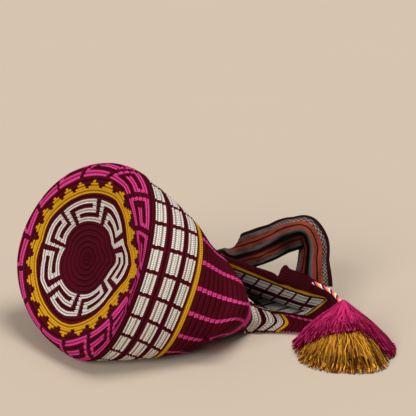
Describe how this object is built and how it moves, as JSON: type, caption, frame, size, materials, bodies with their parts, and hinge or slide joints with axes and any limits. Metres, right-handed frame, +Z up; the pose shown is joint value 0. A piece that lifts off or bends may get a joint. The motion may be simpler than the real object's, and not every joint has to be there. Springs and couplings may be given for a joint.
{
  "type": "crocheted bucket shoulder bag",
  "caption": "Crocheted bucket shoulder bag lying on its side, base towards the viewer's left, with a woven strap, a twisted drawstring and a two-layer yarn tassel.",
  "frame": {"origin": "centre of the bottom of the bounding box of body and strap, on the ground the bag lies on", "axes": "+X from the base towards the mouth, the longest way; +Z up from the ground; the near side, with the tassel, is towards -Y"},
  "size_m": [0.4294, 0.4022, 0.2282],
  "materials": {
    "crochet": "matte",
    "strap": "matte",
    "cord": "matte",
    "tassel_pink": "matte",
    "tassel_gold": "matte"
  },
  "bodies": {
    "root": {"crocheted_body": "crochet", "shoulder_strap": "strap", "drawstring": "cord", "tassel_head": "tassel_pink", "tassel_pink": "tassel_pink", "tassel_gold": "tassel_gold"}
  },
  "joints": []
}
